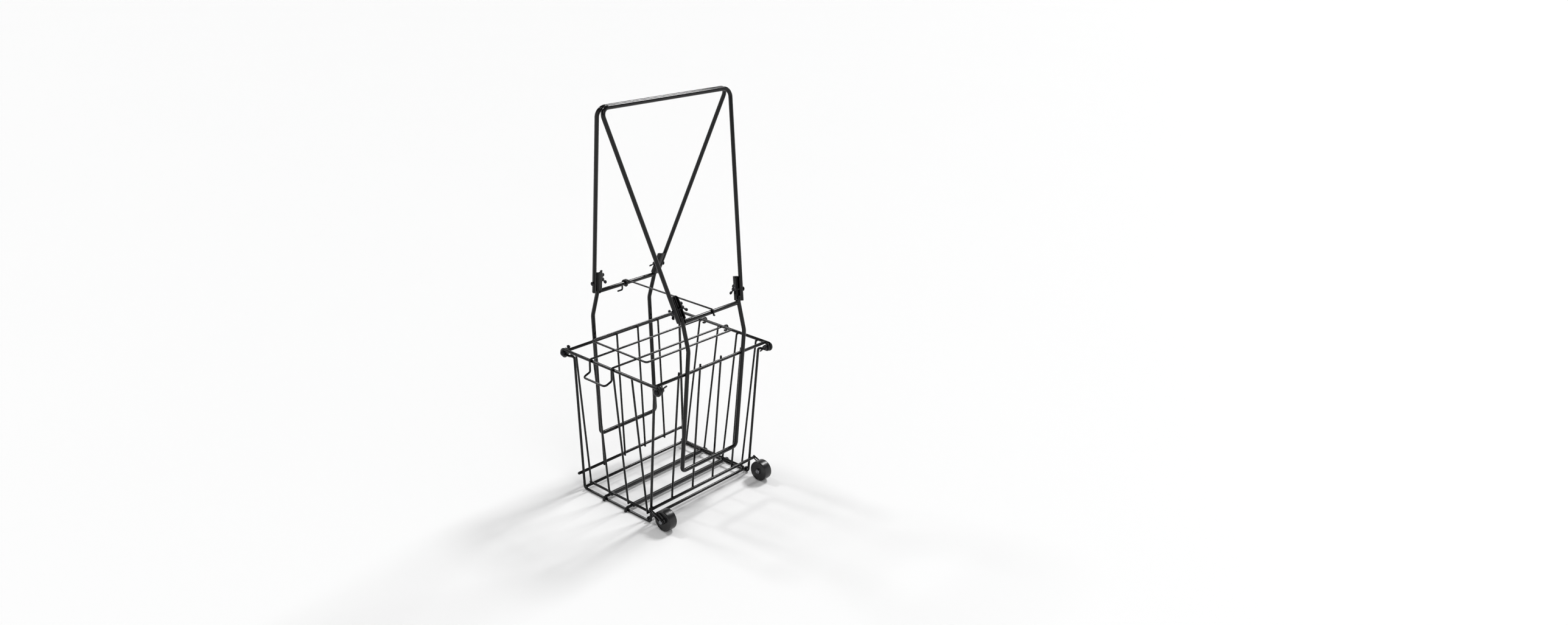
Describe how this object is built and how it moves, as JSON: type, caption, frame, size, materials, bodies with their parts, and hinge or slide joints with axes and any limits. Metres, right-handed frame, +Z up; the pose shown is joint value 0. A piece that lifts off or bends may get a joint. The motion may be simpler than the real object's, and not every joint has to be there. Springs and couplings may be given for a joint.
{
  "type": "ball cart",
  "caption": "Wheeled wire ball basket with a hooked lid, a ball pick-up floor and two hinged wire frames that are its handle or its legs.",
  "frame": {"origin": "the middle of the cart's own box, on the floor under its foot rods and wheels", "axes": "+Z up, +X along the wheels' axis towards the end where the lid is hinged, -Y towards the wheels"},
  "size_m": [0.3368, 0.29, 0.781],
  "materials": {
    "powder_coat": "gloss black powder coat on steel wire and rod",
    "black_steel": "black coated steel fasteners, semi-gloss",
    "wheel_plastic": "satin black moulded plastic",
    "sleeve_plastic": "satin black plastic tube"
  },
  "bodies": {
    "basket": {"latch_end_frame_wire": "powder_coat", "latch_end_rim_rod": "powder_coat", "latch_end_cross_rod": "powder_coat", "latch_end_wire_1": "powder_coat", "latch_end_wire_2": "powder_coat", "latch_end_wire_3": "powder_coat", "latch_end_wire_4": "powder_coat", "hinge_end_frame_wire": "powder_coat", "hinge_end_rim_rod": "powder_coat", "hinge_end_cross_rod": "powder_coat", "hinge_end_wire_1": "powder_coat", "hinge_end_wire_2": "powder_coat", "hinge_end_wire_3": "powder_coat", "hinge_end_wire_4": "powder_coat", "wheel_side_rim_rod": "powder_coat", "wheel_side_rail": "powder_coat", "wheel_side_floor_rod": "powder_coat", "wheel_side_wire_1": "powder_coat", "wheel_side_wire_2": "powder_coat", "wheel_side_wire_3": "powder_coat", "wheel_side_wire_4": "powder_coat", "plain_side_rim_rod": "powder_coat", "plain_side_rail": "powder_coat", "plain_side_floor_rod": "powder_coat", "plain_side_wire_1": "powder_coat", "plain_side_wire_2": "powder_coat", "plain_side_wire_3": "powder_coat", "plain_side_wire_4": "powder_coat", "floor_bar_1": "powder_coat", "floor_bar_2": "powder_coat", "corner_bolt_1": "black_steel", "corner_bolt_2": "black_steel", "corner_bolt_3": "black_steel", "corner_bolt_4": "black_steel", "latch_end_wheel_bolt": "black_steel", "hinge_end_wheel_bolt": "black_steel"},
    "wheel_side_frame": {"wheel_side_leg_frame": "powder_coat", "wheel_side_crossbar": "powder_coat", "wheel_side_handle_loop": "powder_coat", "clamp_bolt_1": "black_steel", "clamp_bolt_2": "black_steel"},
    "plain_side_frame": {"plain_side_leg_frame": "powder_coat", "plain_side_crossbar": "powder_coat", "plain_side_handle_loop": "powder_coat", "clamp_bolt_3": "black_steel", "clamp_bolt_4": "black_steel"},
    "tie_rod": {"tie_rod": "powder_coat"},
    "lid": {"lid": "powder_coat"},
    "latch_end_wheel": {"latch_end_wheel": "wheel_plastic"},
    "hinge_end_wheel": {"hinge_end_wheel": "wheel_plastic"},
    "roller_sleeve_1": {"roller_sleeve_1": "sleeve_plastic"},
    "roller_sleeve_2": {"roller_sleeve_2": "sleeve_plastic"},
    "corner_wing_nut_1": {"corner_wing_nut_1": "black_steel"},
    "corner_wing_nut_2": {"corner_wing_nut_2": "black_steel"},
    "corner_wing_nut_3": {"corner_wing_nut_3": "black_steel"},
    "corner_wing_nut_4": {"corner_wing_nut_4": "black_steel"},
    "clamp_wing_nut_1": {"clamp_wing_nut_1": "black_steel"},
    "clamp_wing_nut_2": {"clamp_wing_nut_2": "black_steel"},
    "clamp_wing_nut_3": {"clamp_wing_nut_3": "black_steel"},
    "clamp_wing_nut_4": {"clamp_wing_nut_4": "black_steel"}
  },
  "joints": [
    {"name": "wheel_side_frame_swing", "type": "hinge", "parent": "basket", "child": "wheel_side_frame", "pos_m": [0.00661, -0.10741, 0.0927], "axis": [1, 0, 0], "range_deg": [0, 180]},
    {"name": "plain_side_frame_swing", "type": "hinge", "parent": "basket", "child": "plain_side_frame", "pos_m": [0.00661, 0.12259, 0.0927], "axis": [-1, 0, 0], "range_deg": [0, 180]},
    {"name": "tie_rod_lift", "type": "hinge", "parent": "plain_side_frame", "child": "tie_rod", "pos_m": [0.00661, 0.12259, 0.396], "axis": [-1, 0, 0], "range_deg": [0, 180]},
    {"name": "lid_lift", "type": "hinge", "parent": "basket", "child": "lid", "pos_m": [0.15761, 0.02459, 0.294], "axis": [0, 1, 0], "range_deg": [0, 20]},
    {"name": "latch_end_wheel_spin", "type": "hinge", "parent": "basket", "child": "latch_end_wheel", "pos_m": [-0.12789, -0.12441, 0.0206], "axis": [1, 0, 0], "continuous": true},
    {"name": "hinge_end_wheel_spin", "type": "hinge", "parent": "basket", "child": "hinge_end_wheel", "pos_m": [0.14111, -0.12441, 0.0206], "axis": [1, 0, 0], "continuous": true},
    {"name": "roller_sleeve_1_spin", "type": "hinge", "parent": "basket", "child": "roller_sleeve_1", "pos_m": [0.00661, -0.02341, 0.00811], "axis": [1, 0, 0], "continuous": true},
    {"name": "roller_sleeve_2_spin", "type": "hinge", "parent": "basket", "child": "roller_sleeve_2", "pos_m": [0.00661, 0.03859, 0.00811], "axis": [1, 0, 0], "continuous": true},
    {"name": "corner_wing_nut_1_turn", "type": "hinge", "parent": "basket", "child": "corner_wing_nut_1", "pos_m": [-0.13579, 0.13559, 0.28745], "axis": [1, 0, 0], "range_deg": [0, 60]},
    {"name": "corner_wing_nut_2_turn", "type": "hinge", "parent": "basket", "child": "corner_wing_nut_2", "pos_m": [-0.13579, -0.12041, 0.28745], "axis": [1, 0, 0], "range_deg": [0, 60]},
    {"name": "corner_wing_nut_3_turn", "type": "hinge", "parent": "basket", "child": "corner_wing_nut_3", "pos_m": [0.14901, -0.12041, 0.28745], "axis": [-1, 0, 0], "range_deg": [0, 60]},
    {"name": "corner_wing_nut_4_turn", "type": "hinge", "parent": "basket", "child": "corner_wing_nut_4", "pos_m": [0.14901, 0.13559, 0.28745], "axis": [-1, 0, 0], "range_deg": [0, 60]},
    {"name": "clamp_wing_nut_1_turn", "type": "hinge", "parent": "wheel_side_frame", "child": "clamp_wing_nut_1", "pos_m": [0.07728, -0.10005, 0.42127], "axis": [-0.9814, 0.0537, 0.1845], "range_deg": [0, 180]},
    {"name": "clamp_wing_nut_2_turn", "type": "hinge", "parent": "wheel_side_frame", "child": "clamp_wing_nut_2", "pos_m": [-0.06407, -0.10005, 0.42127], "axis": [0.9814, 0.0537, 0.1845], "range_deg": [0, 180]},
    {"name": "clamp_wing_nut_3_turn", "type": "hinge", "parent": "plain_side_frame", "child": "clamp_wing_nut_3", "pos_m": [-0.06407, 0.11524, 0.42127], "axis": [0.9814, -0.0537, 0.1845], "range_deg": [0, 180]},
    {"name": "clamp_wing_nut_4_turn", "type": "hinge", "parent": "plain_side_frame", "child": "clamp_wing_nut_4", "pos_m": [0.07728, 0.11524, 0.42127], "axis": [-0.9814, -0.0537, 0.1845], "range_deg": [0, 180]}
  ]
}
